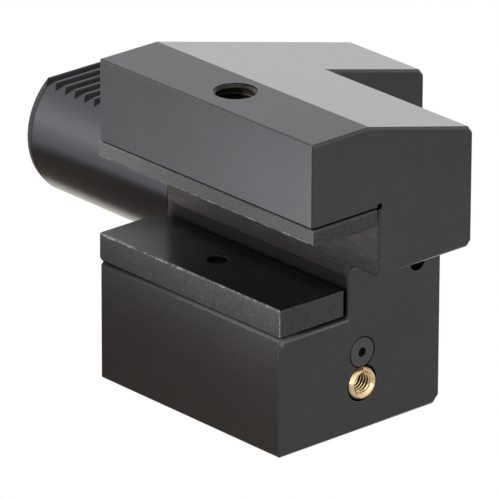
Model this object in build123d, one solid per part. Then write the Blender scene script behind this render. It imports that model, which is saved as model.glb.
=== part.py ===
from build123d import *
import math
import os

# Axial tool holder for a lathe turret, in millimetres.
# Origin: the shank axis at the flange's contact face. +X runs from the shank to the tool end,
# -Y is the open side of the tool slot, and +Z is the toothed side of the shank.

# Shank
shank_diameter = 40.0
shank_length = 63.0
shank_end_chamfer = 1.8
shank_end_drop = 0.5
tooth_crest_height = 15.4
tooth_pitch = 4.0
tooth_depth = 1.7
tooth_count = 10
shank_centre_diameter = 6.3

# Flange and jaws
flange_thickness = 29.0
flange_back = 42.0
top_height = 48.0
base_depth = 42.5
front_reach = 48.0
jaw_back = 8.0
lower_jaw_length = 72.0
overhang_length = 12.0
overhang_height = 5.8
overhang_radius = 3.5
top_flat_width = 19.6
roof_angle = 14.0
rear_chamfer = 1.2
back_chamfer = 1.5
end_chamfer = 0.6
front_chamfer = 0.4
axis_hole_diameter = 5.5
axis_hole_depth = 6.0

# Tool slot
lip_height = 25.3
ledge_height = -9.1
slot_depth = 23.2
corner_relief_radius = 1.0
wall_end_chamfer = 0.8
seat_recess_depth = 0.4
seat_recess_rise = 3.2
ledge_chamfer = 0.9

# Support plate and what holds it
plate_thickness = 8.0
plate_width = 22.0
plate_end_gap = 0.2
plate_chamfer = 0.4
plate_foot_chamfer = 0.5
plate_rear_radius = 1.4
plate_screw_x = 35.0
plate_screw_diameter = 3.0
plate_screw_length = 16.0
plate_screw_recess = 2.2
plate_screw_head_diameter = 5.5
plate_screw_head_height = 3.0
plate_screw_key = 2.5
dowel_diameter = 4.0
dowel_length = 12.0
dowel_in_plate = 4.1
dowel_spread = 48.0

# Clamping strip, its screw and its pins
strip_thickness = 4.6
strip_width = 22.0
strip_overrun = 0.8
strip_chamfer = 0.4
clamp_screw_x = 42.0
clamp_screw_diameter = 11.9
clamp_screw_length = 16.0
clamp_screw_lead = 1.0
clamp_screw_key = 6.0
clamp_screw_socket = 7.0
tip_diameter = 8.0
tip_depth = 3.1
tip_collar = 0.6
guide_pin_diameter = 6.0
guide_pin_length = 16.0
guide_pin_seat = 4.0
guide_pin_spread = 56.0
retaining_pin_diameter = 2.0
retaining_pin_length = 15.0

# Coolant nozzle, its seal and its locking screw
nozzle_y = -19.3
nozzle_height = 13.3
ball_diameter = 10.0
ball_setback = 2.2
ball_front = 0.9
nozzle_thread_diameter = 5.0
nozzle_mouth_diameter = 7.0
nozzle_seal_section = 1.4
lock_screw_offset = 8.7
lock_screw_diameter = 3.9
lock_screw_head = 8.0
lock_screw_rim = 0.2
lock_screw_length = 10.0
lock_screw_recess = 0.05
lock_screw_key = 2.5

# Coolant passages
passage_diameter = 6.0
inlet_y = 22.0
cross_passage_x = 14.0
plug_diameter = 7.9
plug_length = 8.0
plug_recess = 0.5
plug_key = 4.0

# Small chamfers on screws
screw_chamfer = 0.3
plug_chamfer = 0.5

# Shank seal
shank_seal_groove_diameter = 36.5
shank_seal_groove_width = 3.2
shank_land = 1.5

# Clearances and working allowances
pin_gap = 0.01
thread_gap = 0.05
slide_gap = 0.05
ball_gap = 0.1
seal_gap = 0.03
seat_gap = 0.05
strip_gap = 0.3
end_gap = 0.3
margin = 5.0

# Heights and places that follow from the sizes above
shank_radius = shank_diameter / 2
shank_seal_section = shank_radius - shank_seal_groove_diameter / 2 - 2 * seal_gap
upper_jaw_length = lower_jaw_length + overhang_length
wall_y = slot_depth - front_reach
ridge_y = top_flat_width - front_reach
roof_slope = math.tan(math.radians(roof_angle))
plate_top = ledge_height + plate_thickness
plate_y = plate_width / 2 - front_reach
plate_screw_seat = plate_top - plate_screw_recess - plate_screw_head_height
strip_top = lip_height - strip_gap
strip_bottom = strip_top - strip_thickness
strip_y = strip_width / 2 - front_reach
tip_end = strip_top - tip_depth + seat_gap
tip_groove_width = retaining_pin_diameter + 2 * seat_gap
tip_groove_radius = tip_diameter / 2 - 0.55 * retaining_pin_diameter
retaining_pin_offset = tip_groove_radius + seat_gap + retaining_pin_diameter / 2
retaining_pin_z = tip_end + tip_collar + tip_groove_width / 2
retaining_pin_start = strip_width - front_reach - strip_chamfer - retaining_pin_length
ball_radius = ball_diameter / 2
ball_x = lower_jaw_length - ball_setback
nozzle_z = nozzle_height - base_depth
lock_screw_z = nozzle_z + lock_screw_offset
nozzle_seal_radius = (ball_radius + seal_gap) * math.sin(math.pi / 4)
nozzle_seal_x = ball_x - nozzle_seal_radius - nozzle_seal_section
socket_floor = nozzle_seal_x - seal_gap
guide_pin_places = [clamp_screw_x - guide_pin_spread / 2, clamp_screw_x + guide_pin_spread / 2]
retaining_pin_places = [clamp_screw_x - retaining_pin_offset, clamp_screw_x + retaining_pin_offset]
dowel_places = [plate_screw_x - dowel_spread / 2, plate_screw_x + dowel_spread / 2]


def roof_height(y):
    return top_height - roof_slope * (y - ridge_y)


def prism_x(points, start, end):
    """Solid with a Y-Z outline, from X = start to X = end."""
    outline = Plane.YZ * make_face(Polyline(*points, close=True))
    return Pos(start, 0, 0) * extrude(outline, amount=end - start)


def rod_x(radius, start, end, y=0.0, z=0.0):
    length = end - start
    return Pos(start + length / 2, y, z) * Rot(0, 90, 0) * Cylinder(radius, length)


def rod_y(radius, start, end, x=0.0, z=0.0):
    length = end - start
    return Pos(x, start + length / 2, z) * Rot(90, 0, 0) * Cylinder(radius, length)


def rod_z(radius, start, end, x=0.0, y=0.0):
    length = end - start
    return Pos(x, y, start + length / 2) * Cylinder(radius, length)


def turned(points, place):
    """Turned solid: (radius, height) points round a local Z axis, set at a place."""
    outline = Plane.XZ * make_face(Polyline(*points, close=True))
    return place * revolve(outline, Axis.Z)


def key_socket(across_flats, depth):
    """Cutter for a hexagonal key socket below its local Z = 0 face."""
    cutter = extrude(RegularPolygon(across_flats / 2, 6, major_radius=False), amount=depth)
    return Pos(0, 0, -depth) * cutter


def seal_ring(inner_radius, section, start, y=0.0, z=0.0):
    """Square-cut ring along X."""
    ring = rod_x(inner_radius + section, start, start + section, y, z)
    return ring - rod_x(inner_radius, start - margin, start + margin, y, z)


def edges_within(solid, low, high):
    """Edges that lie wholly inside a box."""
    slack = 0.01
    found = ShapeList()
    for edge in solid.edges():
        box = edge.bounding_box()
        above = all(a >= b - slack for a, b in zip(tuple(box.min), low))
        below = all(a <= b + slack for a, b in zip(tuple(box.max), high))
        if above and below:
            found.append(edge)
    return found


def toothed_shank():
    """Round shank with a row of 90 degree grooves across its +Z side."""
    profile = [
        (0, -shank_length),
        (shank_radius - shank_end_drop, -shank_length),
        (shank_radius, shank_end_chamfer - shank_length),
        (shank_radius, flange_thickness / 2),
        (0, flange_thickness / 2),
    ]
    shank = turned(profile, Rot(0, 90, 0))

    above = shank_radius + margin
    rack_end = -shank_length + tooth_count * tooth_pitch
    outline = [(-shank_length - margin, above), (-shank_length - margin, tooth_crest_height)]
    for tooth in range(tooth_count):
        middle = -shank_length + (tooth + 0.5) * tooth_pitch
        outline.append((middle - tooth_depth, tooth_crest_height))
        outline.append((middle, tooth_crest_height - tooth_depth))
        outline.append((middle + tooth_depth, tooth_crest_height))
    outline.append((rack_end, tooth_crest_height))
    outline.append((rack_end + above - tooth_crest_height, above))
    rack = Plane.XZ * make_face(Polyline(*outline, close=True))
    shank -= extrude(rack, amount=shank_radius + margin, both=True)

    groove = rod_x(shank_radius + margin, -shank_land - shank_seal_groove_width, -shank_land)
    shank -= groove - rod_x(shank_seal_groove_diameter / 2, -shank_length, 0)

    centre = [(0, 0), (shank_centre_diameter / 2, 0), (0, -shank_centre_diameter / 2 * math.sqrt(3))]
    return shank - turned(centre, Pos(-shank_length, 0, 0) * Rot(0, -90, 0))


def roof_outline(back):
    """Y-Z points from a back face, over the sloping roof, to the open side."""
    return [
        (back, roof_height(back) - back_chamfer),
        (back - back_chamfer, roof_height(back - back_chamfer)),
        (ridge_y, top_height),
        (-front_reach, top_height),
    ]


def end_edges(solid, x, low, high):
    """Edges of the face at X, from one height to another, without the slot's own."""
    found = edges_within(solid, (x, -front_reach, low), (x, flange_back, high))
    wall = edges_within(solid, (x, wall_y, low), (x, wall_y, high))
    under_lip = edges_within(solid, (x, -front_reach, lip_height), (x, wall_y, lip_height))
    return ShapeList(edge for edge in found if edge not in wall and edge not in under_lip)


def full_jaws():
    """Both jaws as far as the lower one's end, with the tool slot between them."""
    outline = roof_outline(jaw_back) + [
        (-front_reach, lip_height),
        (wall_y, lip_height),
        (wall_y, ledge_height),
        (ledge_chamfer - front_reach, ledge_height),
        (-front_reach, ledge_height - ledge_chamfer),
        (-front_reach, -base_depth),
        (jaw_back - back_chamfer, -base_depth),
        (jaw_back, -base_depth + back_chamfer),
    ]
    block = prism_x(outline, 0, lower_jaw_length)
    wall = edges_within(
        block, (lower_jaw_length, wall_y, ledge_height), (lower_jaw_length, wall_y, lip_height)
    )
    block = chamfer(wall, wall_end_chamfer)
    ledge = edges_within(
        block, (lower_jaw_length, -front_reach, ledge_height - ledge_chamfer),
        (lower_jaw_length, wall_y, ledge_height),
    )
    block = chamfer(ledge, ledge_chamfer)
    return chamfer(end_edges(block, lower_jaw_length, -base_depth, ledge_height - end_chamfer), end_chamfer)


def upper_jaw_end():
    """The upper jaw beyond the lower one, with the round in the corner under it."""
    outline = roof_outline(jaw_back) + [
        (-front_reach, lip_height),
        (wall_y, lip_height),
        (wall_y, overhang_height),
        (jaw_back - back_chamfer, overhang_height),
        (jaw_back, overhang_height + back_chamfer),
    ]
    block = prism_x(outline, flange_thickness, upper_jaw_length)
    block = chamfer(end_edges(block, upper_jaw_length, overhang_height, top_height), end_chamfer)
    wall = edges_within(
        block, (upper_jaw_length, wall_y, overhang_height), (upper_jaw_length, wall_y, lip_height)
    )
    block = chamfer(wall, wall_end_chamfer)

    web_width = jaw_back - back_chamfer - wall_y - wall_end_chamfer
    web = Box(overhang_radius, web_width, overhang_radius, align=(Align.MIN, Align.MIN, Align.MAX))
    web = Pos(lower_jaw_length, wall_y + wall_end_chamfer, overhang_height) * web
    round_end = jaw_back + margin
    web -= rod_y(
        overhang_radius, wall_y, round_end,
        lower_jaw_length + overhang_radius, overhang_height - overhang_radius,
    )
    return block + web


def flange():
    outline = [
        (0, -base_depth),
        (flange_back - back_chamfer, -base_depth),
        (flange_back, -base_depth + back_chamfer),
        (flange_back, roof_height(flange_back) - back_chamfer),
        (flange_back - back_chamfer, roof_height(flange_back - back_chamfer)),
        (0, roof_height(0)),
    ]
    block = prism_x(outline, 0, flange_thickness)
    outer = end_edges(block, flange_thickness, -base_depth, top_height).sort_by(Axis.Y)[1:]
    return chamfer(outer, end_chamfer)


def jaws_and_flange():
    block = full_jaws() + upper_jaw_end() + flange()
    rear_edges = edges_within(block, (0, -front_reach, -base_depth), (0, flange_back, top_height))
    block = chamfer(rear_edges, rear_chamfer)
    front_edges = ShapeList()
    for z in (top_height, -base_depth):
        front_edges += edges_within(block, (0, -front_reach, z), (upper_jaw_length, -front_reach, z))
    block = chamfer(front_edges.filter_by(Axis.X), front_chamfer)

    block -= rod_x(corner_relief_radius, -margin, upper_jaw_length + margin, wall_y, lip_height)
    recess_length = lower_jaw_length + 2 * margin
    recess = Box(
        recess_length, 2 * seat_recess_depth, plate_thickness + seat_recess_rise,
        align=(Align.MIN, Align.CENTER, Align.MIN),
    )
    return block - Pos(-margin, wall_y, ledge_height) * recess


def coolant_passages():
    """Cutters for the nozzle's socket, the drilled passages and the plugged cross hole."""
    bore = passage_diameter / 2
    plug_seat = flange_back - plug_recess - plug_length
    cutters = rod_x(ball_radius + ball_gap, socket_floor, lower_jaw_length + margin, nozzle_y, nozzle_z)
    cutters += rod_x(bore, cross_passage_x, socket_floor, nozzle_y, nozzle_z)
    cutters += rod_y(bore, nozzle_y - bore, flange_back, cross_passage_x, nozzle_z)
    plug_bore = plug_diameter / 2 + thread_gap
    cutters += rod_y(plug_bore, plug_seat, flange_back + margin, cross_passage_x, nozzle_z)
    return cutters + rod_x(bore, -margin, cross_passage_x, inlet_y, nozzle_z)


def holder_body():
    """The one machined piece: toothed shank, flange and both jaws, with every hole."""
    body = jaws_and_flange() + toothed_shank()
    body -= coolant_passages()

    screw_bore = clamp_screw_diameter / 2 + thread_gap
    body -= rod_z(screw_bore, lip_height - margin, top_height + margin, clamp_screw_x, strip_y)
    for x in guide_pin_places:
        top = strip_top - guide_pin_seat + guide_pin_length + end_gap
        body -= rod_z(guide_pin_diameter / 2 + slide_gap, lip_height - margin, top, x, strip_y)

    floor = plate_screw_seat - plate_screw_length - end_gap
    bore = plate_screw_diameter / 2 + thread_gap
    body -= rod_z(bore, floor, ledge_height + margin, plate_screw_x, plate_y)
    for x in dowel_places:
        floor = ledge_height + dowel_in_plate - dowel_length - seat_gap
        body -= rod_z(dowel_diameter / 2 + pin_gap, floor, ledge_height + margin, x, plate_y)

    rim = lock_screw_head / 2 + lock_screw_recess + lock_screw_rim + seat_gap
    core = lock_screw_diameter / 2 + thread_gap
    floor = -lock_screw_length - end_gap
    sink = [(0, margin), (rim, margin), (rim, 0), (core, core - rim), (core, floor), (0, floor - core / 2)]
    body -= turned(sink, Pos(lower_jaw_length, nozzle_y, lock_screw_z) * Rot(0, 90, 0))

    hole = axis_hole_diameter / 2
    point = -axis_hole_depth - hole / math.sqrt(3)
    centre = [(0, margin), (hole, margin), (hole, -axis_hole_depth), (0, point)]
    return body - turned(centre, Pos(lower_jaw_length, 0, 0) * Rot(0, 90, 0))


def support_plate():
    length = lower_jaw_length - 2 * plate_end_gap
    plate = Box(length, plate_width, plate_thickness)
    rear_edge = plate.edges().filter_by(Axis.Y).group_by(Axis.X)[0].sort_by(Axis.Z)[0]
    plate = fillet(rear_edge, plate_rear_radius)
    foot_edges = plate.faces().sort_by(Axis.Z)[0].edges().sort_by(Axis.X)[1:]
    plate = chamfer(foot_edges, plate_foot_chamfer)
    plate = chamfer(plate.faces().sort_by(Axis.Z)[-1].edges(), plate_chamfer)
    plate = Pos(lower_jaw_length / 2, plate_y, plate_top - plate_thickness / 2) * plate

    bore = plate_screw_diameter / 2 + thread_gap
    plate -= rod_z(bore, ledge_height - margin, plate_top, plate_screw_x, plate_y)
    bore = plate_screw_head_diameter / 2 + thread_gap
    plate -= rod_z(bore, plate_screw_seat - seat_gap, plate_top + margin, plate_screw_x, plate_y)
    for x in dowel_places:
        top = ledge_height + dowel_in_plate + seat_gap
        plate -= rod_z(dowel_diameter / 2 + pin_gap, ledge_height - margin, top, x, plate_y)
    return plate


def support_plate_screw():
    head = plate_screw_head_diameter / 2
    shaft = plate_screw_diameter / 2
    top = plate_screw_head_height
    profile = [(0, -plate_screw_length), (shaft, -plate_screw_length), (shaft, 0), (head, 0)]
    profile += [(head, top - screw_chamfer), (head - screw_chamfer, top), (0, top)]
    place = Pos(plate_screw_x, plate_y, plate_screw_seat)
    return turned(profile, place) - place * Pos(0, 0, top) * key_socket(plate_screw_key, top / 2)


def support_plate_dowel(x):
    bottom = ledge_height + dowel_in_plate - dowel_length
    return rod_z(dowel_diameter / 2, bottom, bottom + dowel_length, x, plate_y)


def clamp_strip():
    length = upper_jaw_length + strip_overrun - plate_end_gap
    strip = Box(length, strip_width, strip_thickness)
    strip = chamfer(strip.edges(), strip_chamfer)
    strip = Pos(plate_end_gap + length / 2, strip_y, strip_bottom + strip_thickness / 2) * strip

    pocket = tip_diameter / 2 + thread_gap
    strip -= rod_z(pocket, strip_top - tip_depth, strip_top + margin, clamp_screw_x, strip_y)
    for x in guide_pin_places:
        floor = strip_top - guide_pin_seat - seat_gap
        strip -= rod_z(guide_pin_diameter / 2 + pin_gap, floor, strip_top + margin, x, strip_y)
    for x in retaining_pin_places:
        bore = retaining_pin_diameter / 2 + pin_gap
        strip -= rod_y(bore, retaining_pin_start - seat_gap, wall_y, x, retaining_pin_z)
    return strip


def strip_retaining_pin(x):
    end = retaining_pin_start + retaining_pin_length
    return rod_y(retaining_pin_diameter / 2, retaining_pin_start, end, x, retaining_pin_z)


def strip_guide_pin(x):
    bottom = strip_top - guide_pin_seat
    return rod_z(guide_pin_diameter / 2, bottom, bottom + guide_pin_length, x, strip_y)


def clamp_screw():
    """Set screw with a grooved tip that pushes the strip down and lifts it again."""
    thread = clamp_screw_diameter / 2
    tip = tip_diameter / 2
    shoulder = lip_height + seat_gap
    top = tip_end + clamp_screw_length
    groove_bottom = tip_end + tip_collar
    groove_top = groove_bottom + tip_groove_width
    profile = [
        (0, tip_end),
        (tip, tip_end),
        (tip, groove_bottom),
        (tip_groove_radius, groove_bottom),
        (tip_groove_radius, groove_top),
        (tip, groove_top),
        (tip, shoulder),
        (thread, shoulder),
        (thread, top - clamp_screw_lead),
        (thread - clamp_screw_lead, top),
        (0, top),
    ]
    screw = turned(profile, Pos(clamp_screw_x, strip_y, 0))
    return screw - Pos(clamp_screw_x, strip_y, top) * key_socket(clamp_screw_key, clamp_screw_socket)


def coolant_nozzle():
    """Ball with a tapped bore along X and a flat, countersunk mouth."""
    front = ball_setback + ball_front
    bore = nozzle_thread_diameter / 2
    mouth = nozzle_mouth_diameter / 2
    ball = Sphere(ball_radius)
    ball -= Pos(0, 0, front) * Box(
        ball_diameter, ball_diameter, ball_radius, align=(Align.CENTER, Align.CENTER, Align.MIN)
    )
    cutter = [(0, -ball_diameter), (bore, -ball_diameter), (bore, front - (mouth - bore))]
    cutter += [(mouth, front), (mouth, ball_radius), (0, ball_radius)]
    ball -= turned(cutter, Pos(0, 0, 0))
    return Pos(ball_x, nozzle_y, nozzle_z) * Rot(0, 90, 0) * ball


def nozzle_lock_screw():
    """Countersunk screw whose head overlaps the edge of the ball."""
    head = lock_screw_head / 2
    shaft = lock_screw_diameter / 2
    cone_end = shaft - head - lock_screw_rim
    profile = [(0, 0), (head, 0), (head, -lock_screw_rim), (shaft, cone_end)]
    profile += [(shaft, -lock_screw_length), (0, -lock_screw_length)]
    place = Pos(lower_jaw_length - lock_screw_recess, nozzle_y, lock_screw_z) * Rot(0, 90, 0)
    return turned(profile, place) - place * key_socket(lock_screw_key, lock_screw_head / 4)


def channel_plug():
    end = flange_back - plug_recess
    plug = rod_y(plug_diameter / 2, end - plug_length + seat_gap, end, cross_passage_x, nozzle_z)
    plug = chamfer(plug.edges().sort_by(Axis.Y)[-1], plug_chamfer)
    place = Pos(cross_passage_x, end, nozzle_z) * Rot(-90, 0, 0)
    return plug - place * key_socket(plug_key, plug_length / 2)


def main():
    shank_seal_radius = shank_seal_groove_diameter / 2 + seal_gap
    shank_seal_x = -shank_land - (shank_seal_groove_width + shank_seal_section) / 2
    parts = {
        "holder_body": holder_body(),
        "shank_seal": seal_ring(shank_seal_radius, shank_seal_section, shank_seal_x),
        "channel_plug": channel_plug(),
        "support_plate": support_plate(),
        "support_plate_screw": support_plate_screw(),
        "clamp_strip": clamp_strip(),
        "clamp_screw": clamp_screw(),
        "coolant_nozzle": coolant_nozzle(),
        "nozzle_seal": seal_ring(nozzle_seal_radius, nozzle_seal_section, nozzle_seal_x, nozzle_y, nozzle_z),
        "nozzle_lock_screw": nozzle_lock_screw(),
    }
    for number, x in enumerate(dowel_places, 1):
        parts[f"support_plate_dowel_{number}"] = support_plate_dowel(x)
    for number, x in enumerate(guide_pin_places, 1):
        parts[f"strip_guide_pin_{number}"] = strip_guide_pin(x)
    for number, x in enumerate(retaining_pin_places, 1):
        parts[f"strip_retaining_pin_{number}"] = strip_retaining_pin(x)

    os.makedirs("parts", exist_ok=True)
    for name, solid in parts.items():
        export_step(solid, f"parts/{name}.step")


main()
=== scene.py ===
import math

import bmesh
import bpy
from bpy.props import FloatProperty, IntProperty, PointerProperty
from mathutils import Matrix, Vector


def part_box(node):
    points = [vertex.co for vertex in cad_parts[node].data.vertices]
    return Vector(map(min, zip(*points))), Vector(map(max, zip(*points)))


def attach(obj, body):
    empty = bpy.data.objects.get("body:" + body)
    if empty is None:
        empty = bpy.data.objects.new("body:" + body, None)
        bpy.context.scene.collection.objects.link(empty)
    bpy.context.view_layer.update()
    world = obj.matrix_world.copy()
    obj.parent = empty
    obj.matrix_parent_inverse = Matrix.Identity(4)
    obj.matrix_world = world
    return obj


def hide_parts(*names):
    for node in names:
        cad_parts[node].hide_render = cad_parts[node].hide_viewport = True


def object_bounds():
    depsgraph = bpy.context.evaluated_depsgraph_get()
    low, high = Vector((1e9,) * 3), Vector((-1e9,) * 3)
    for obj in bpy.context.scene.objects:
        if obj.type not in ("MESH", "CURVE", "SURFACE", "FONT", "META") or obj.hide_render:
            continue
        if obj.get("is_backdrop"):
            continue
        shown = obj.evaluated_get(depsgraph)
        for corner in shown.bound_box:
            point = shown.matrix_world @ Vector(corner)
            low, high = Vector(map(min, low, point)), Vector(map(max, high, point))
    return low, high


bl_info = {
    "name": "Turret tool holder",
    "version": (1, 0, 0),
    "blender": (4, 5, 0),
    "location": "View3D > Sidebar > Tool holder",
    "description": "Finishes, threads and studio for a turret tool holder",
    "category": "Object",
}

MM = 0.001
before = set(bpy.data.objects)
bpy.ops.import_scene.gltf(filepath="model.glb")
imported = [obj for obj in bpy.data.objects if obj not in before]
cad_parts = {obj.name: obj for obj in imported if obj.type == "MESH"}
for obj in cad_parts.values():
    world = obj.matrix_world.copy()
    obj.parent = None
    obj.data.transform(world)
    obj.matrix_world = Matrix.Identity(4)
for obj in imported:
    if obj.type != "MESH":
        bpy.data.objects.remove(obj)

# Places on the holder's body that no box of the frame gives, in millimetres

SLOT_WALL = -24.8
SEAT_RECESS_DEPTH = 0.4
SEAT_RECESS_RISE = 3.2
LIP_HEIGHT = 25.3
OVERHANG_HEIGHT = 5.8
LOWER_JAW_END = 72.0
LEDGE_CHAMFER = 0.9
SHANK_RADIUS = 20.0
TEETH_END = -22.8
TOOTH_PITCH = 4.0
TOOTH_CREST = 15.4

# Shares of an ISO thread's pitch, measured inwards from its outer radius

PITCH_LINE = 0.3248
TAPPED_CREST = 0.5413
SCREW_ROOT = 0.6


def node_box(name):
    """Lowest and highest corner of a CAD node, in millimetres."""
    low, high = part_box(name)
    return low / MM, high / MM


# Settings

class HolderSettings(bpy.types.PropertyGroup):
    oxide_tone: FloatProperty(
        name="Oxide tone", description="Reflectance of the black oxide seen head on",
        default=0.072, min=0.01, max=0.5,
    )
    oxide_roughness: FloatProperty(
        name="Oxide roughness", description="Roughness of the ground faces", default=0.29, min=0.0, max=1.0,
    )
    edge_radius: FloatProperty(
        name="Edge radius", description="Radius of the broken edges", default=0.00022,
        min=0.0, max=0.002, subtype="DISTANCE", unit="LENGTH",
    )
    screw_pitch: FloatProperty(
        name="Clamp screw pitch", description="Pitch of the clamp screw's thread", default=0.00175,
        min=0.0002, max=0.01, subtype="DISTANCE", unit="LENGTH",
    )
    nozzle_pitch: FloatProperty(
        name="Nozzle pitch", description="Pitch of the nozzle's thread", default=0.001,
        min=0.0002, max=0.01, subtype="DISTANCE", unit="LENGTH",
    )
    thread_segments: IntProperty(
        name="Thread segments", description="Steps round one turn of a thread", default=96, min=12, max=360,
    )
    azimuth: FloatProperty(
        name="Azimuth", description="Camera direction round the holder", default=math.radians(48.2974),
        subtype="ANGLE", unit="ROTATION",
    )
    elevation: FloatProperty(
        name="Elevation", description="Camera height above the horizon", default=math.radians(22.2222),
        subtype="ANGLE", unit="ROTATION",
    )
    roll: FloatProperty(
        name="Roll", description="Camera roll", default=0.0036, subtype="ANGLE", unit="ROTATION",
    )
    distance: FloatProperty(
        name="Distance", description="Camera distance from the origin's plane", default=1.89134,
        min=0.1, max=20.0, subtype="DISTANCE", unit="LENGTH",
    )
    lens: FloatProperty(
        name="Lens", description="Focal length in millimetres", default=508.67, min=10.0, max=2000.0,
    )
    aim_right: FloatProperty(
        name="Aim right", description="Camera offset along its own right", default=0.004202,
        subtype="DISTANCE", unit="LENGTH",
    )
    aim_up: FloatProperty(
        name="Aim up", description="Camera offset along its own up", default=-0.01769,
        subtype="DISTANCE", unit="LENGTH",
    )


# Shader nodes

class Tree:
    """Short way to build the nodes of a material or a world."""

    def __init__(self, owner):
        self.owner = owner
        owner.use_nodes = True
        self.nodes = owner.node_tree.nodes
        self.links = owner.node_tree.links
        self.nodes.clear()

    def put(self, value, socket):
        if isinstance(value, bpy.types.NodeSocket):
            self.links.new(value, socket)
        else:
            socket.default_value = value

    def add(self, kind, inputs=None, **settings):
        node = self.nodes.new(kind)
        for key, value in settings.items():
            setattr(node, key, value)
        for key, value in (inputs or {}).items():
            self.put(value, node.inputs[key])
        return node

    def math(self, operation, a, b=0.0):
        return self.add("ShaderNodeMath", {0: a, 1: b}, operation=operation).outputs[0]

    def product(self, *values):
        result = values[0]
        for value in values[1:]:
            result = self.math("MULTIPLY", result, value)
        return result

    def apart(self, a, b):
        """Distance between two values."""
        return self.math("ABSOLUTE", self.math("SUBTRACT", a, b))

    def length(self, a, b):
        """Length of the vector (a, b)."""
        squares = self.math("ADD", self.math("MULTIPLY", a, a), self.math("MULTIPLY", b, b))
        return self.math("SQRT", squares)

    def ramp(self, value, low, high, out_low=0.0, out_high=1.0, smooth=True):
        """Maps low..high to out_low..out_high, clamped."""
        node = self.add(
            "ShaderNodeMapRange",
            {"Value": value, "From Min": low, "From Max": high, "To Min": out_low, "To Max": out_high},
            interpolation_type="SMOOTHSTEP" if smooth else "LINEAR",
        )
        return node.outputs["Result"]

    def noise(self, vector, scale, detail=4.0, roughness=0.55):
        inputs = {"Vector": vector, "Scale": scale, "Detail": detail, "Roughness": roughness}
        return self.add("ShaderNodeTexNoise", inputs).outputs["Fac"]

    def stretch(self, vector, scale):
        return self.add("ShaderNodeMapping", {"Vector": vector, "Scale": scale}).outputs["Vector"]

    def split(self, vector):
        node = self.add("ShaderNodeSeparateXYZ", {0: vector})
        return node.outputs[0], node.outputs[1], node.outputs[2]

    def millimetres(self, place):
        """X, Y and Z of a place in metres, turned into millimetres."""
        return self.split(self.shade(1 / MM, place))

    def mix(self, factor, a, b):
        node = self.add("ShaderNodeMix", data_type="RGBA")
        self.put(factor, node.inputs["Factor"])
        self.put(a, node.inputs[6])
        self.put(b, node.inputs[7])
        return node.outputs[2]

    def shade(self, value, colour):
        """Colour times a plain value."""
        node = self.add("ShaderNodeVectorMath", {0: colour, "Scale": value}, operation="SCALE")
        return node.outputs["Vector"]

    def tint(self, mask, value, colour):
        """Colour times a plain value where the mask is 1, and unchanged where it is 0."""
        return self.shade(self.ramp(mask, 0.0, 1.0, 1.0, value), colour)

    def bump(self, strength, distance, **inputs):
        node = self.add("ShaderNodeBump", {"Strength": strength, "Distance": distance, **inputs})
        return node.outputs["Normal"]

    def surface(self, shader, output="ShaderNodeOutputMaterial"):
        self.links.new(shader, self.add(output).inputs["Surface"])
        return self.owner

    def finish(self, **inputs):
        principled = self.add("ShaderNodeBsdfPrincipled")
        for key, value in inputs.items():
            self.put(value, principled.inputs[key.replace("_", " ")])
        return self.surface(principled.outputs["BSDF"])

    def blend(self, factor, a, b):
        """Mix of two shader nodes."""
        return self.add("ShaderNodeMixShader", {0: factor, 1: a.outputs[0], 2: b.outputs[0]})

    def by_ray(self, plain, glossy, seen):
        """One shader for ordinary rays, one for reflections and one for the camera."""
        path = self.add("ShaderNodeLightPath").outputs
        lit = self.blend(path["Is Glossy Ray"], plain, glossy)
        return self.blend(path["Is Camera Ray"], lit, seen).outputs[0]


def new_material(name):
    """A material's tree and the place that its patterns follow."""
    tree = Tree(bpy.data.materials.new(name))
    return tree, tree.add("ShaderNodeTexCoord").outputs["Object"]


def assign(material, *names):
    for name in names:
        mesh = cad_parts[name].data
        mesh.materials.clear()
        mesh.materials.append(material)


# Black oxide steel

def worn_edges(tree, radius, breakup):
    """Rounded shading normal and a mask of the outer edges, broken up by noise."""
    bevel = tree.add("ShaderNodeBevel", {"Radius": radius}, samples=6)
    geometry = tree.add("ShaderNodeNewGeometry")
    normals = {0: bevel.outputs["Normal"], 1: geometry.outputs["Normal"]}
    same = tree.add("ShaderNodeVectorMath", normals, operation="DOT_PRODUCT")
    mask = tree.ramp(same.outputs["Value"], 0.995, 0.90)
    return bevel.outputs["Normal"], tree.math("MULTIPLY", mask, breakup)


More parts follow.
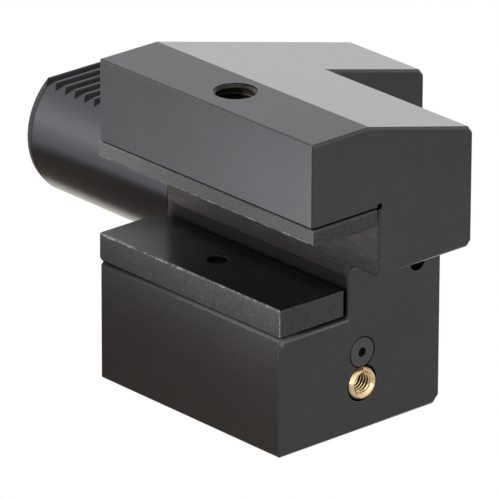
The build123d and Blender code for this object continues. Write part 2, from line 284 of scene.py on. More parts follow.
def steel(name, colour, roughness, edge_radius, grain=(14.0, 1800.0, 1800.0), speckle=0.035,
          speckle_scale=420.0, wear=0.5, marks_and_shading=None):
    """Oxide-black steel with a directional ground grain, cloudy tone and worn edges."""
    grain_depth = 0.15
    worn_steel = (0.34, 0.335, 0.33, 1.0)
    tree, place = new_material(name)
    clouds = tree.noise(place, 55.0, 5.0)
    mottle = tree.noise(place, speckle_scale, 6.0, 0.62)
    fine = tree.noise(place, 2600.0, 3.0)
    lines = tree.noise(tree.stretch(place, grain), 1.0, 5.0, 0.6)

    tone = tree.product(
        tree.ramp(clouds, 0.3, 0.7, 0.96, 1.04),
        tree.ramp(mottle, 0.25, 0.75, 1.0 - speckle, 1.0 + speckle),
        tree.ramp(lines, 0.3, 0.7, 1.0 - 0.1 * grain_depth, 1.0 + 0.1 * grain_depth),
    )
    base = tree.shade(tone, colour)

    # The teeth have sharper edges than the rest
    x, _, _ = tree.millimetres(place)
    radius = tree.ramp(x, TEETH_END, TEETH_END + 0.2, 0.1 * edge_radius, edge_radius)
    breakup = tree.ramp(tree.noise(place, 900.0, 5.0, 0.7), 0.45, 0.62, 0.0, wear)
    normal, edge = worn_edges(tree, radius, breakup)
    base = tree.mix(edge, base, worn_steel)
    rough = tree.ramp(mottle, 0.2, 0.8, roughness * 0.97, roughness * 1.03)
    rough = tree.math("ADD", rough, tree.ramp(lines, 0.3, 0.7, -0.03 * grain_depth, 0.03 * grain_depth))
    if marks_and_shading:
        base, rough = marks_and_shading(tree, place, base, rough)

    height = tree.math("ADD", tree.math("MULTIPLY", lines, grain_depth), tree.math("MULTIPLY", fine, 0.08))
    normal = tree.bump(0.12, 0.00003, Height=height, Normal=normal)
    return tree.finish(Base_Color=base, Metallic=0.92, Roughness=rough, Normal=normal)


# Marks, painted shade and painted highlights on the holder's body

def seat_heights():
    """Height of the support plate's ledge and of the top of the recess behind the plate."""
    low, high = node_box("support_plate")
    return low.z, high.z + SEAT_RECESS_RISE


def milled_slot_wall(tree, place, base, rough, tone):
    """The slot's wall is brown-grey, with close milling lines along X."""
    x, y, z = tree.millimetres(place)
    _, recess_top = seat_heights()
    wall = tree.product(
        tree.ramp(y, SLOT_WALL + 0.4, SLOT_WALL + 0.2),
        tree.ramp(y, SLOT_WALL - 1.4, SLOT_WALL - 0.9),
        tree.ramp(z, LIP_HEIGHT + 0.1, LIP_HEIGHT - 0.2),
        tree.ramp(z, recess_top - 0.05, recess_top + 0.05),
    )
    lines = tree.noise(tree.stretch(place, (150.0, 900.0, 6200.0)), 1.0, 3.0, 0.7)
    milled = tree.shade(tree.ramp(lines, 0.3, 0.7, 0.5, 1.05), (tone * 1.1, tone * 1.04, tone * 0.97))
    milled = tree.shade(tree.ramp(x, 8.0, 30.0, 1.28, 0.9), milled)
    return tree.mix(wall, base, milled), tree.math("ADD", rough, tree.math("MULTIPLY", wall, 0.16))


def shaded_seat_recess(tree, place, base, rough, tone):
    """The recess behind the support plate is smooth, and its colour is darkened as painted shade, where it
    lies back from the wall and mirrors the dark plate.
    """
    x, y, z = tree.millimetres(place)
    ledge, recess_top = seat_heights()
    recess_back = SLOT_WALL + SEAT_RECESS_DEPTH
    recess = tree.product(
        tree.ramp(y, recess_back - 0.2, recess_back - 0.1),
        tree.ramp(z, recess_top, recess_top - 0.1),
        tree.ramp(y, recess_back + 0.4, recess_back + 0.2),
        tree.ramp(z, ledge - 0.2, ledge + 0.1),
        tree.ramp(x, 1.5, 3.5),
    )
    # Painted shade: the recess is coloured darker than the wall above it
    base = tree.mix(recess, base, (tone * 0.38, tone * 0.385, tone * 0.35, 1.0))
    return base, tree.math("ADD", rough, tree.math("MULTIPLY", recess, 0.3))


def shaded_ledge_chamfer(tree, place, base, rough, tone):
    """The ledge's chamfer lies in the support plate's shadow towards the flange and the slot."""
    x, y, z = tree.millimetres(place)
    ledge, _ = seat_heights()
    front = node_box("holder_body")[0].y
    foot = ledge - LEDGE_CHAMFER
    band = tree.product(tree.ramp(z, ledge + 0.05, ledge - 0.05), tree.ramp(z, foot - 0.04, foot + 0.02))
    on_front = tree.product(band, tree.ramp(y, front + 1.0, front + 0.8))
    on_end = tree.product(
        band,
        tree.ramp(x, LOWER_JAW_END - 1.0, LOWER_JAW_END - 0.8),
        tree.ramp(y, SLOT_WALL + 0.4, SLOT_WALL + 0.2),
    )
    # Painted shadow towards the flange and the slot, turning into painted light, lighter than the base,
    # towards the tool end on the front
    base = tree.tint(on_front, tree.ramp(x, 0.0, 60.0, 0.22, 1.2), base)
    base = tree.tint(on_end, tree.ramp(y, front + 1.0, front + 12.0, 0.85, 0.25), base)
    return base, rough


def stained_wall_edge(tree, place, base, rough, tone):
    """The broken edge at the end of the slot's wall is stained brown."""
    x, y, z = tree.millimetres(place)
    ledge, _ = seat_heights()
    stain = tree.product(
        tree.ramp(x, LOWER_JAW_END - 1.0, LOWER_JAW_END - 0.8),
        tree.ramp(x, LOWER_JAW_END - 0.02, LOWER_JAW_END - 0.08),
        tree.ramp(y, SLOT_WALL + 1.2, SLOT_WALL + 1.0),
        tree.ramp(y, SLOT_WALL - 0.6, SLOT_WALL - 0.4),
        tree.ramp(z, ledge, ledge + 0.2),
        tree.ramp(z, OVERHANG_HEIGHT + 0.2, OVERHANG_HEIGHT - 0.1),
    )
    return tree.mix(stain, base, (tone * 0.8, tone * 0.75, tone * 0.66, 1.0)), rough


def lock_screw_shadow(tree, place, base, rough, tone):
    """Shadow line in the countersink round the lock screw's head."""
    x, y, z = tree.millimetres(place)
    low, high = node_box("nozzle_lock_screw")
    middle = (low + high) / 2
    head = (high.y - low.y) / 2
    from_axis = tree.length(tree.math("SUBTRACT", y, middle.y), tree.math("SUBTRACT", z, middle.z))
    ring = tree.product(
        tree.ramp(x, LOWER_JAW_END - 1.5, LOWER_JAW_END - 1.2),
        tree.ramp(from_axis, head + 0.5, head + 0.4),
    )
    return tree.tint(ring, 0.15, base), rough


def ground_shank(tree, place, base, rough, tone):
    """The shank is ground smoother than the rest, and is bluer."""
    x, _, _ = tree.millimetres(place)
    on_shank = tree.ramp(x, 0.0, -1.0)
    base = tree.mix(on_shank, base, (tone * 0.97, tone * 0.99, tone * 1.07, 1.0))
    return base, tree.math("MULTIPLY", rough, tree.ramp(on_shank, 0.0, 1.0, 1.0, 0.7))


def painted_crest_highlights(tree, place, base, rough, tone):
    """Painted highlight: a narrow bright line along each tooth's crest, with painted shade beside it."""
    x, _, z = tree.millimetres(place)
    shank_end = node_box("holder_body")[0].x
    crest = tree.product(
        tree.ramp(x, TEETH_END + 0.2, TEETH_END - 0.2), tree.ramp(z, TOOTH_CREST - 0.05, TOOTH_CREST - 0.01),
    )
    from_line = tree.math("PINGPONG", tree.math("SUBTRACT", x, shank_end), TOOTH_PITCH / 2)
    return tree.tint(crest, tree.ramp(from_line, 0.08, 0.16, 1.1, 0.3), base), rough


def shank_end_rim(tree, place, base, rough, tone):
    """The chamfer at the shank's end is dull and dark, most of all at its outer edge."""
    x, y, z = tree.millimetres(place)
    shank_end = node_box("holder_body")[0].x
    rim = tree.product(
        tree.ramp(x, shank_end + 2.7, shank_end + 2.4),
        tree.ramp(tree.length(y, z), SHANK_RADIUS - 0.6, SHANK_RADIUS - 0.5),
    )
    base = tree.tint(rim, tree.ramp(x, shank_end + 1.85, shank_end + 1.75, 0.5, 0.19), base)
    return base, tree.math("ADD", rough, tree.math("MULTIPLY", rim, 0.2))


def shaded_tooth_flanks(tree, place, base, rough, tone):
    """Painted shade: the teeth's flanks are coloured darker than their crests."""
    x, y, z = tree.millimetres(place)
    flank = tree.product(
        tree.ramp(x, TEETH_END + 0.2, TEETH_END - 0.2),
        tree.ramp(z, TOOTH_CREST - 0.05, TOOTH_CREST - 0.4),
        tree.ramp(tree.length(y, z), SHANK_RADIUS - 0.05, SHANK_RADIUS - 0.15),
        0.9,
    )
    return tree.mix(flank, base, (tone * 0.18, tone * 0.18, tone * 0.19, 1.0)), rough


# In this order, because the shank's own colour lies under the painted highlights and painted shade of its
# teeth
BODY_MARKS_AND_SHADING = (
    milled_slot_wall,
    shaded_seat_recess,
    shaded_ledge_chamfer,
    stained_wall_edge,
    lock_screw_shadow,
    ground_shank,
    painted_crest_highlights,
    shank_end_rim,
    shaded_tooth_flanks,
)


def body_oxide(s):
    """Satin black oxide with the marks of each face, and painted shade and painted highlights on some of
    them.
    """
    tone = s.oxide_tone

    def marks_and_shading(tree, place, base, rough):
        for mark in BODY_MARKS_AND_SHADING:
            base, rough = mark(tree, place, base, rough, tone)
        return base, rough

    return steel("black_oxide", (tone, tone * 0.985, tone), s.oxide_roughness, s.edge_radius, marks_and_shading=marks_and_shading)


# Other materials

def worn_corners(tree, place, base, from_front, from_top, from_end):
    """Tools have scraped the plate's long top edge and its corner bright."""
    chips = tree.noise(place, 1700.0, 6.0, 0.75)
    reach = tree.ramp(tree.noise(place, 260.0, 3.0), 0.3, 0.7, 0.22, 0.75)
    off_front = tree.math("ABSOLUTE", from_front)
    top_edge = tree.math("MAXIMUM", off_front, tree.math("ABSOLUTE", from_top))
    corner = tree.math("MAXIMUM", off_front, tree.math("ABSOLUTE", from_end))
    nearest = tree.math("MINIMUM", top_edge, tree.math("MULTIPLY", corner, 2.2))
    near = tree.math("DIVIDE", nearest, reach)
    mask = tree.product(tree.ramp(near, 1.25, 0.35), tree.ramp(chips, 0.45, 0.58, 0.0, 0.9))
    return tree.mix(mask, base, (0.3, 0.3, 0.31, 1.0))


def scratched_front(tree, place, base, on_front):
    """Bright specks and curly scratches, most of the curls towards the tool end."""
    x, _, _ = tree.millimetres(place)
    specks = tree.ramp(tree.noise(place, 2600.0, 3.0, 0.7), 0.55, 0.72, 0.0, 0.5)
    base = tree.mix(tree.product(specks, on_front), base, (0.19, 0.19, 0.195, 1.0))
    curls = tree.ramp(tree.apart(tree.noise(place, 620.0, 2.0, 0.5), 0.5), 0.016, 0.002)
    curls = tree.product(curls, tree.ramp(x, 10.0, 60.0, 0.06, 0.3), on_front)
    return tree.mix(curls, base, (0.24, 0.24, 0.245, 1.0))


def support_plate_oxide(s):
    """Black oxide worn bright along the edges that tools scrape, with painted shade on its top and in its
    gaps.
    """
    low, high = node_box("support_plate")
    tone = s.oxide_tone * 0.78

    def marks_and_shading(tree, place, base, rough):
        x, y, z = tree.millimetres(place)
        from_front = tree.math("SUBTRACT", y, low.y)
        from_top = tree.math("SUBTRACT", high.z, z)
        from_end = tree.math("SUBTRACT", high.x, x)
        on_front = tree.ramp(from_front, 0.4, 0.2)
        on_top = tree.ramp(from_top, 0.4, 0.2)
        on_end = tree.ramp(from_end, 0.4, 0.2)
        base = worn_corners(tree, place, base, from_front, from_top, from_end)
        base = scratched_front(tree, place, base, on_front)
        base = tree.tint(tree.math("MAXIMUM", on_front, on_end), 1.2, base)
        # Painted shade: the top is darkest round its screw
        shaded_top = tree.product(on_top, tree.ramp(x, 8.0, 20.0), tree.ramp(x, 55.0, 30.0))
        base = tree.tint(shaded_top, 0.66, base)
        # Painted shadow: the foot's chamfer and the top's back edge are black, as shaded gaps against the
        # ledge and the wall
        foot = tree.ramp(z, low.z + 0.55, low.z + 0.45)
        back = tree.product(on_top, tree.ramp(y, high.y - 0.5, high.y - 0.3))
        return tree.mix(tree.math("MAXIMUM", foot, back), base, (0.002, 0.002, 0.002, 1.0)), rough

    return steel(
        "support_plate_oxide", (tone, tone, tone * 1.02), s.oxide_roughness * 0.92, s.edge_radius,
        speckle=0.12, wear=0.45, marks_and_shading=marks_and_shading,
    )


def clamp_strip_oxide(s):
    """Rougher, browner oxide, scraped along the strip's lower front edge."""
    low, high = node_box("clamp_strip")
    tone = s.oxide_tone * 1.12

    def marks_and_shading(tree, place, base, rough):
        x, y, z = tree.millimetres(place)
        chips = tree.noise(place, 1500.0, 5.0, 0.7)
        nearest = tree.math("MAXIMUM", tree.apart(y, low.y), tree.apart(z, low.z))
        reach = tree.ramp(tree.noise(place, 320.0, 3.0), 0.3, 0.7, 0.3, 1.0)
        near = tree.math("DIVIDE", nearest, reach)
        scraped = tree.product(tree.ramp(near, 1.1, 0.3), tree.ramp(chips, 0.38, 0.6, 0.1, 0.75))
        base = tree.shade(tree.ramp(x, 0.0, 50.0, 1.38, 0.76), base)
        return tree.mix(scraped, base, (0.36, 0.36, 0.35, 1.0)), rough

    return steel(
        "clamp_strip_oxide", (tone * 1.01, tone, tone * 0.96), s.oxide_roughness * 1.2, s.edge_radius * 1.4,
        grain=(500.0, 1500.0, 1100.0), speckle=0.3, speckle_scale=1500.0, marks_and_shading=marks_and_shading,
    )


def screw_oxide(s):
    """Oxide worn off the clamp screw's threads."""
    tone = s.oxide_tone * 0.8
    colour = (tone, tone, tone * 1.025)
    return steel("screw_oxide", colour, 0.36, s.edge_radius * 0.6, grain=(400.0, 400.0, 1600.0), wear=0.8)


def small_screw_oxide(s):
    """Paler oxide of the small screws and the plug."""
    tone = s.oxide_tone * 1.33
    colour = (tone, tone, tone)
    return steel("small_screw_oxide", colour, 0.34, s.edge_radius * 0.6, grain=(900.0, 900.0, 900.0))


def tapped_hole_oxide(s, thread):
    """Grey-green lead-in cone, with brown cutting oil on the threads below it, and a painted highlight and
    painted glints on the side towards the roof.
    """
    tone = s.oxide_tone

    def marks_and_shading(tree, place, base, rough):
        x, y, z = tree.millimetres(place)
        across = tree.math("SUBTRACT", x, thread.axis.x)
        along = tree.math("SUBTRACT", y, thread.axis.y)
        # Painted light: the side towards the roof is lighter, a painted highlight on the cone and painted
        # glints on the oiled threads
        highlight_side = tree.math("ADD", tree.math("MULTIPLY", across, 0.35), along)
        cone = tree.ramp(z, thread.mouth - 1.6, thread.mouth - 1.2)
        bare_with_highlight = tree.shade(tree.ramp(highlight_side, 4.6, 6.0, 0.36, 0.95), (tone, tone, tone * 0.88))
        oiled_with_glints = tree.shade(tree.ramp(highlight_side, 3.0, 5.6, 0.4, 3.4), (tone * 0.95, tone * 0.86, tone * 0.74))
        return tree.mix(cone, oiled_with_glints, bare_with_highlight), tree.math("ADD", rough, 0.1)

    return steel("tapped_hole_oxide", (tone, tone, tone), 0.3, s.edge_radius * 0.4, wear=0.25, marks_and_shading=marks_and_shading)


def ground_pin_steel(s):
    """Bright ground steel of the dowels and pins."""
    return steel(
        "ground_pin", (0.42, 0.42, 0.43), 0.24, s.edge_radius * 0.6, grain=(500.0, 500.0, 4000.0),
        speckle=0.05, wear=0.0,
    )


def turned_brass(nozzle):
    """Polished brass with fine turning rings, stained in patches."""
    tree, place = new_material("turned_brass")
    x, y, z = tree.millimetres(place)
    rings = tree.noise(tree.stretch(place, (9000.0, 350.0, 350.0)), 1.0, 3.0, 0.6)
    stain = tree.noise(place, 700.0, 5.0, 0.6)
    base = tree.mix(tree.ramp(stain, 0.35, 0.75), (0.91, 0.73, 0.42, 1.0), (0.76, 0.53, 0.25, 1.0))
    base = tree.shade(tree.ramp(rings, 0.3, 0.7, 0.85, 1.08), base)
    # Oxide and cutting oil settle in the thread's grooves
    centre = nozzle.centre
    from_axis = tree.length(tree.math("SUBTRACT", y, centre.y), tree.math("SUBTRACT", z, centre.z))
    groove = tree.product(
        tree.ramp(from_axis, nozzle.core + 0.12, nozzle.core + 0.3),
        tree.ramp(x, LOWER_JAW_END, LOWER_JAW_END - 0.4),
        tree.ramp(from_axis, nozzle.core + 0.8, nozzle.core + 0.5),
        0.95,
    )
    base = tree.mix(groove, base, (0.085, 0.042, 0.014, 1.0))
    rough = tree.ramp(stain, 0.3, 0.7, 0.17, 0.3)
    normal = tree.bump(0.25, 0.00002, Height=rings)
    return tree.finish(Base_Color=base, Metallic=1.0, Roughness=rough, Normal=normal)


def seal_rubber():
    """Matt black rubber with a little dust."""
    tree, place = new_material("seal_rubber")
    dust = tree.noise(place, 600.0, 5.0, 0.65)
    base = tree.mix(tree.ramp(dust, 0.35, 0.8), (0.012, 0.012, 0.013, 1.0), (0.035, 0.034, 0.033, 1.0))
    rough = tree.ramp(dust, 0.3, 0.7, 0.45, 0.62)
    normal = tree.bump(0.2, 0.00002, Height=dust)
    return tree.finish(Base_Color=base, Roughness=rough, Normal=normal)


# Meshes

def new_piece(name, mesh, material, body):
    """A smooth-shaded object that rides on a body, with its sharp edges kept."""
    piece = bpy.data.objects.new(name, mesh)
    bpy.context.scene.collection.objects.link(piece)
    mesh.materials.append(material)
    mesh.shade_smooth()
    mesh.set_sharp_from_angle(angle=math.radians(35.0))
    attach(piece, body)
    return piece


def close_mesh(bm, name, outward=True):
    """Merges doubled vertices and turns the mesh into Blender data."""
    bmesh.ops.remove_doubles(bm, verts=bm.verts, dist=2e-7)
    bmesh.ops.dissolve_degenerate(bm, edges=bm.edges, dist=1e-7)
    if outward:
        bmesh.ops.recalc_face_normals(bm, faces=bm.faces)
    mesh = bpy.data.meshes.new(name)
    bm.to_mesh(mesh)
    bm.free()
    return mesh


def circle(bm, radius, height, segments):
    """A ring of vertices. The radius is a number or a function of the angle."""
    ring = []
    for i in range(segments):
        angle = 2 * math.pi * i / segments
        reach = radius(angle) if callable(radius) else radius
        ring.append(bm.verts.new((reach * math.cos(angle), reach * math.sin(angle), height)))
    return ring


def join_rings(bm, ring, other):
    """Faces between two rings. Returns the second one."""
    for i in range(len(ring)):
        j = (i + 1) % len(ring)
        bm.faces.new((ring[i], ring[j], other[j], other[i]))
    return other


def profile_radius(points, turns):
    """Radius of a repeating thread profile of (share of pitch, radius) points."""
    share = turns % 1.0
    closed = points + [(points[0][0] + 1.0, points[0][1])]
    for (a, ra), (b, rb) in zip(closed, closed[1:]):
        for moved in (share, share + 1.0):
            if a <= moved <= b:
                return ra + (rb - ra) * (moved - a) / (b - a)
    return points[0][1]


def thread_surface(bm, points, pitch, start, end, segments, limit):
    """Adds a right-hand helical thread round the local Z axis between two heights.

    limit(height, radius) gives the radius that is used there, which cuts cones at the thread's ends.
    Returns the lowest and the highest ring of vertices.
    """
    steps = []
    for (a, _), (b, _) in zip(points, points[1:] + [(points[0][0] + 1.0, 0.0)]):
        steps += [a + (b - a) * k / 3 for k in range(3)]
    first = math.floor(start / pitch) - 2
    last = math.ceil(end / pitch) + 2
    columns = []
    for i in range(segments):
        share = i / segments
        angle = 2 * math.pi * share
        column = []
        for turn in range(first, last):
            for step in steps:
                height = min(max((share + turn + step) * pitch, start), end)
                radius = limit(height, profile_radius(points, height / pitch - share))
                column.append(bm.verts.new((radius * math.cos(angle), radius * math.sin(angle), height)))
        columns.append(column)
    # The last column meets the first one a whole turn further up
    for i in range(segments):
        near = columns[i]
        far = columns[(i + 1) % segments]
        shift = len(steps) if i == segments - 1 else 0
        for k in range(len(near) - 1 - shift):
            bm.faces.new((near[k], far[k + shift], far[k + 1 + shift], near[k + 1]))
    return [column[0] for column in columns], [column[-1] for column in columns]


def external_profile(major, minor, pitch, pitch_radius):
    """Ridge centred on share 0, for a screw."""
    slope = math.tan(math.radians(30)) / pitch
    crest = 0.25 - (major - pitch_radius) * slope
    root = 0.25 - (pitch_radius - minor) * slope
    return [(-crest, major), (crest, major), (0.5 - root, minor), (0.5 + root, minor)]


def internal_profile(major, minor, pitch, pitch_radius, play):
    """Groove centred on share 0, for a tapped hole."""
    slope = math.tan(math.radians(30)) / pitch
    root = 0.25 - (major - pitch_radius) * slope + play / pitch
    crest = 0.25 - (pitch_radius - minor) * slope - play / pitch
    return [(-root, major), (root, major), (0.5 - crest, minor), (0.5 + crest, minor)]


class ClampThread:
    """Sizes that the clamp screw and its tapped hole share, in millimetres."""

    def __init__(self, s):
        low, high = node_box("clamp_screw")
        self.axis = (low + high) / 2
        self.screw_bottom = low.z
        self.screw_top = high.z
        self.mouth = node_box("holder_body")[1].z
        self.major = (high.x - low.x) / 2
        self.nominal = self.major + 0.05
        self.pitch = s.screw_pitch / MM
        self.pitch_radius = self.nominal - PITCH_LINE * self.pitch
        self.segments = s.thread_segments

    def to_frame(self):
        """Matrix from the thread's own axis to the shared frame."""
        return Matrix.Translation((self.axis.x * MM, self.axis.y * MM, 0.0)) @ Matrix.Scale(MM, 4)


def tapped_hole_mesh(thread):
    """Helical wall of the tapped hole, with a cone at each end."""
    inside_wall = 0.01
    crest_clearance = 0.05
    flank_play = 0.03
    bottom = LIP_HEIGHT
    top = thread.mouth - inside_wall
    major = thread.nominal - inside_wall
    core = thread.nominal - TAPPED_CREST * thread.pitch + crest_clearance

    def lead_in(height, radius):
        from_end = min(thread.mouth - height, height - bottom)
        return max(radius, major - from_end)

    bm = bmesh.new()
    profile = internal_profile(major, core, thread.pitch, thread.pitch_radius, flank_play)
    thread_surface(bm, profile, thread.pitch, bottom, top, thread.segments, lead_in)
    bm.transform(thread.to_frame())
    mesh = close_mesh(bm, "tapped_hole", outward=False)
    mesh.flip_normals()
    return mesh


def hexagon_reach(across_flats):
    """Distance from a hexagon's middle to its side, as a function of the angle."""
    def reach(angle):
        return across_flats / 2 / math.cos((angle % (math.pi / 3)) - math.pi / 6)
    return reach


def clamp_screw_mesh(thread):
    """Set screw with a grooved tip, a threaded shaft and a hexagon socket."""
    shoulder = LIP_HEIGHT + 0.05
    tip = 4.0
    groove = 2.9
    groove_top = 24.65
    groove_bottom = 22.55
    tip_chamfer = 0.15
    end_chamfer = 1.0
    across_flats = 6.0
    corner = across_flats / math.sqrt(3)
    socket_depth = 7.0
    socket_chamfer = 0.3
    bottom, top = thread.screw_bottom, thread.screw_top
    minor = thread.major - SCREW_ROOT * thread.pitch

    def ends(height, radius):
        return min(radius, thread.major - end_chamfer + min(height - shoulder, top - height))

    bm = bmesh.new()
    profile = external_profile(thread.major, minor, thread.pitch, thread.pitch_radius)
    ring, highest = thread_surface(bm, profile, thread.pitch, shoulder, top, thread.segments, ends)
    tip_outline = [
        (tip, shoulder),
        (tip, groove_top),
        (groove, groove_top),
        (groove, groove_bottom),
        (tip, groove_bottom),
        (tip, bottom + tip_chamfer),
        (tip - tip_chamfer, bottom),
    ]
    for radius, height in tip_outline:
        ring = join_rings(bm, ring, circle(bm, radius, height, thread.segments))
    bm.faces.new(ring)

    hexagon = hexagon_reach(across_flats)
    ring = join_rings(bm, highest, circle(bm, corner + 0.35, top, thread.segments))
    ring = join_rings(bm, ring, circle(bm, hexagon, top - socket_chamfer, thread.segments))
    ring = join_rings(bm, ring, circle(bm, hexagon, top - socket_depth, thread.segments))
    bm.faces.new(ring)
    bm.transform(thread.to_frame())
    return close_mesh(bm, "clamp_screw_threaded")


class Nozzle:
    """Sizes of the brass ball and its thread, in millimetres. Heights run along the bore from the centre."""

    def __init__(self, s):
        low, high = node_box("coolant_nozzle")
        self.ball = (high.y - low.y) / 2
        nominal = 3.0
        self.core = 2.5
        self.groove = nominal - 0.02
        self.mouth = self.core + 1.0
        self.inlet = self.core + 0.5
        self.pitch = s.nozzle_pitch / MM
        self.pitch_radius = nominal - PITCH_LINE * self.pitch
        self.front = high.x - low.x - math.sqrt(self.ball ** 2 - self.core ** 2)
        self.back = -math.sqrt(self.ball ** 2 - self.inlet ** 2)
        self.centre = Vector((high.x - self.front, low.y + self.ball, low.z + self.ball))
        self.segments = s.thread_segments


def brass_nozzle_mesh(nozzle):
    """Ball with a flat front and a threaded bore through it."""
    ball, front, back = nozzle.ball, nozzle.front, nozzle.back
    rings = 40
    edge_break = 0.12

    def lead_in(height, radius):
        return max(radius, nozzle.mouth - (front - height), nozzle.inlet + back - height)

    bm = bmesh.new()
    profile = internal_profile(nozzle.groove, nozzle.core, nozzle.pitch, nozzle.pitch_radius, 0.0)
    inner_low, inner_high = thread_surface(bm, profile, nozzle.pitch, back, front, nozzle.segments, lead_in)
    flat = math.sqrt(ball ** 2 - front ** 2)
    ring = join_rings(bm, inner_high, circle(bm, flat - edge_break, front, nozzle.segments))
    front_angle = math.asin(front / ball)
    back_angle = -math.acos(nozzle.inlet / ball)
    for i in range(rings + 1):
        angle = front_angle + (back_angle - front_angle) * i / rings
        outline = circle(bm, ball * math.cos(angle), ball * math.sin(angle), nozzle.segments)
        ring = join_rings(bm, ring, outline)
    join_rings(bm, ring, inner_low)
    along_x = Matrix.Rotation(math.radians(90), 4, "Y")
    bm.transform(Matrix.Translation(nozzle.centre * MM) @ along_x @ Matrix.Scale(MM, 4))
    return close_mesh(bm, "brass_nozzle")


# Studio

def floor_paper():
    """White paper to the camera. Reflections see a painted floor instead: a painted shadow towards the
    holder, and brighter than white further off.
    """
    middle = 0.01
    half_length = 0.073
    half_width = 0.048
    tree = Tree(bpy.data.materials.new("floor_paper"))
    x, y, _ = tree.split(tree.add("ShaderNodeNewGeometry").outputs["Position"])
    past_end = tree.math("MAXIMUM", tree.math("SUBTRACT", tree.apart(x, middle), half_length), 0.0)
    past_side = tree.math("MAXIMUM", tree.math("SUBTRACT", tree.math("ABSOLUTE", y), half_width), 0.0)
    away = tree.length(past_end, past_side)
    shadow = tree.mix(tree.ramp(x, -0.06, -0.1), (0.162, 0.136, 0.12, 1.0), (0.25, 0.21, 0.175, 1.0))
    front = tree.mix(tree.ramp(away, 0.042, 0.118), shadow, (1.9, 1.88, 1.99, 1.0))
    front = tree.shade(tree.ramp(x, -0.14, 0.05, 0.61, 2.45, smooth=False), front)
    front = tree.shade(tree.ramp(x, -0.16, -0.32, 1.0, 1.4), front)
    front = tree.mix(tree.ramp(y, -0.016, -0.002), front, (1.0, 0.95, 0.85, 1.0))
    right = tree.mix(tree.ramp(y, 0.02, 0.08), (0.63, 0.63, 0.65, 1.0), (0.73, 0.73, 0.75, 1.0))
    right = tree.mix(tree.ramp(y, 0.11, 0.14), right, (0.57, 0.56, 0.58, 1.0))
    seen = tree.mix(tree.ramp(x, 0.064, 0.076), front, right)
    diffuse = tree.add("ShaderNodeBsdfDiffuse", {"Color": (0.62, 0.61, 0.6, 1.0), "Roughness": 1.0})
    mirrored = tree.add("ShaderNodeEmission", {"Color": seen})
    white = tree.add("ShaderNodeEmission", {"Color": (1.0, 1.0, 1.0, 1.0), "Strength": 1.0})
    return tree.surface(tree.by_ray(diffuse, mirrored, white))


def add_floor(scene):
    """A wide floor just under the holder."""
    half = 3.0
    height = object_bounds()[0].z - 0.0001
    mesh = bpy.data.meshes.new("floor")
    corners = [(-half, -half, height), (half, -half, height), (half, half, height), (-half, half, height)]
    mesh.from_pydata(corners, [], [(0, 1, 2, 3)])
    mesh.materials.append(floor_paper())
    floor = bpy.data.objects.new("floor", mesh)
    scene.collection.objects.link(floor)
    floor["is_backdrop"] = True


def soft_world():
    """Pale soft light all round. Reflections see it brighter low down and in front of the slot."""
    tree = Tree(bpy.data.worlds.new("studio"))
    _, across, height = tree.split(tree.add("ShaderNodeTexCoord").outputs["Generated"])
    behind = tree.ramp(height, 0.02, 0.4, 2.05, 0.91)
    before = tree.ramp(height, 0.15, 0.65, 2.2, 1.2)
    strength = tree.ramp(tree.ramp(across, 0.3, 0.0), 0.0, 1.0, behind, before)
    soft = tree.add("ShaderNodeBackground", {"Color": (0.98, 0.99, 1.0, 1.0), "Strength": 0.85})
    walls = tree.add("ShaderNodeBackground", {"Color": (1.0, 0.985, 1.015, 1.0), "Strength": strength})
    plain = tree.add("ShaderNodeBackground", {"Color": (1.0, 1.0, 1.0, 1.0), "Strength": 1.0})
    return tree.surface(tree.by_ray(soft, walls, plain), "ShaderNodeOutputWorld")


def add_top_light(scene):
    """One large, weak light high above the holder."""
    data = bpy.data.lights.new("top", "AREA")
    data.shape = "SQUARE"
    data.size = 1.2
    data.energy = 2.5
    lamp = bpy.data.objects.new("top", data)
    lamp.location = (0.1, 0.2, 1.6)
    lamp.rotation_mode = "QUATERNION"
    lamp.rotation_quaternion = (-lamp.location).to_track_quat("-Z", "Y")
    scene.collection.objects.link(lamp)


def add_camera(scene, s):
    """Camera at the photograph's viewing angle."""
    flat = math.cos(s.elevation)
    back = Vector((math.sin(s.azimuth) * flat, -math.cos(s.azimuth) * flat, math.sin(s.elevation)))
    right = Vector((math.cos(s.azimuth), math.sin(s.azimuth), 0.0))
    up = back.cross(right)
    data = bpy.data.cameras.new("camera")
    data.lens = s.lens
    data.sensor_width = 36.0
    data.clip_start = 0.1
    data.clip_end = 20.0
    camera = bpy.data.objects.new("camera", data)
    scene.collection.objects.link(camera)
    turned_right = right * math.cos(s.roll) + up * math.sin(s.roll)
    turned_up = up * math.cos(s.roll) - right * math.sin(s.roll)
    turn = Matrix((turned_right, turned_up, back)).transposed().to_4x4()
    camera.matrix_world = Matrix.Translation(right * s.aim_right + up * s.aim_up + back * s.distance) @ turn
    scene.camera = camera


# Operators

class HOLDER_OT_body(bpy.types.Operator):
    """Finishes the holder's body in black oxide, rough-milled in the slot"""
    bl_idname = "holder.body"
    bl_label = "Holder body"

    def execute(self, context):
        assign(body_oxide(context.scene.holder), "holder_body")
        return {"FINISHED"}


class HOLDER_OT_support_plate(bpy.types.Operator):
    """Finishes the support plate, its edges worn bright by tools"""
    bl_idname = "holder.support_plate"
    bl_label = "Support plate"

    def execute(self, context):
        assign(support_plate_oxide(context.scene.holder), "support_plate")
        return {"FINISHED"}


class HOLDER_OT_clamp_strip(bpy.types.Operator):
    """Finishes the clamping strip in a rougher, browner grey"""
    bl_idname = "holder.clamp_strip"
    bl_label = "Clamping strip"

    def execute(self, context):
        assign(clamp_strip_oxide(context.scene.holder), "clamp_strip")
        return {"FINISHED"}


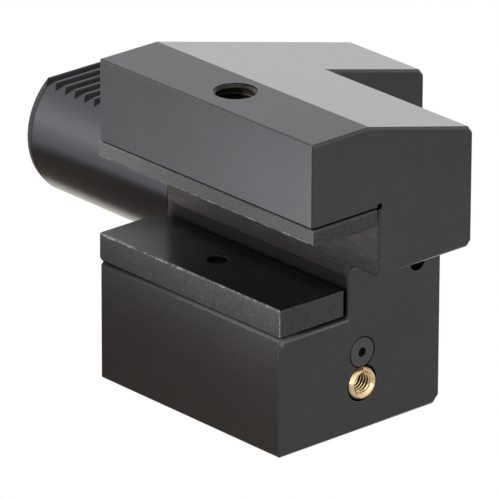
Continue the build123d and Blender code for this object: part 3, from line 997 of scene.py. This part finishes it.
class HOLDER_OT_clamp_screw(bpy.types.Operator):
    """Cuts the thread on the clamp screw and in the hole that it turns in"""
    bl_idname = "holder.clamp_screw"
    bl_label = "Clamp screw and its thread"

    def execute(self, context):
        s = context.scene.holder
        thread = ClampThread(s)
        hole_oxide = tapped_hole_oxide(s, thread)
        new_piece("tapped_hole", tapped_hole_mesh(thread), hole_oxide, "holder")
        oxide = screw_oxide(s)
        mesh = clamp_screw_mesh(thread)
        screw = new_piece("clamp_screw_threaded", mesh, oxide, "screw")
        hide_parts("clamp_screw")
        return {"FINISHED"}


class HOLDER_OT_nozzle(bpy.types.Operator):
    """Turns the brass nozzle ball and cuts its thread"""
    bl_idname = "holder.nozzle"
    bl_label = "Coolant nozzle"

    def execute(self, context):
        sizes = Nozzle(context.scene.holder)
        mesh = brass_nozzle_mesh(sizes)
        brass = turned_brass(sizes)
        nozzle = new_piece("brass_nozzle", mesh, brass, "nozzle")
        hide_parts("coolant_nozzle")
        return {"FINISHED"}


class HOLDER_OT_small_parts(bpy.types.Operator):
    """Finishes the small screws, pins, plug and seals"""
    bl_idname = "holder.small_parts"
    bl_label = "Small parts"

    def execute(self, context):
        s = context.scene.holder
        assign(small_screw_oxide(s), "nozzle_lock_screw", "support_plate_screw", "channel_plug")
        pins = [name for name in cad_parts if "_pin_" in name or "_dowel_" in name]
        assign(ground_pin_steel(s), *pins)
        assign(seal_rubber(), "shank_seal", "nozzle_seal")
        return {"FINISHED"}


class HOLDER_OT_studio(bpy.types.Operator):
    """Sets the floor, the soft lights, the white background and the camera"""
    bl_idname = "holder.studio"
    bl_label = "Studio"

    def execute(self, context):
        scene = context.scene
        add_floor(scene)
        scene.world = soft_world()
        add_top_light(scene)
        add_camera(scene, scene.holder)
        scene.view_settings.view_transform = "Standard"
        return {"FINISHED"}


class HOLDER_PT_panel(bpy.types.Panel):
    bl_idname = "HOLDER_PT_panel"
    bl_label = "Tool holder"
    bl_space_type = "VIEW_3D"
    bl_region_type = "UI"
    bl_category = "Tool holder"

    def draw(self, context):
        for name in HolderSettings.__annotations__:
            self.layout.prop(context.scene.holder, name)
        for operator in OPERATORS:
            self.layout.operator(operator.bl_idname)


OPERATORS = (
    HOLDER_OT_body,
    HOLDER_OT_support_plate,
    HOLDER_OT_clamp_strip,
    HOLDER_OT_clamp_screw,
    HOLDER_OT_nozzle,
    HOLDER_OT_small_parts,
    HOLDER_OT_studio,
)
CLASSES = (HolderSettings, *OPERATORS, HOLDER_PT_panel)


def register():
    for cls in CLASSES:
        bpy.utils.register_class(cls)
    bpy.types.Scene.holder = PointerProperty(type=HolderSettings)


def unregister():
    del bpy.types.Scene.holder
    for cls in reversed(CLASSES):
        bpy.utils.unregister_class(cls)


def main():
    register()
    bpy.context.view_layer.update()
    for operator in OPERATORS:
        group, name = operator.bl_idname.split(".")
        getattr(getattr(bpy.ops, group), name)()


if __name__ == "__main__":
    main()
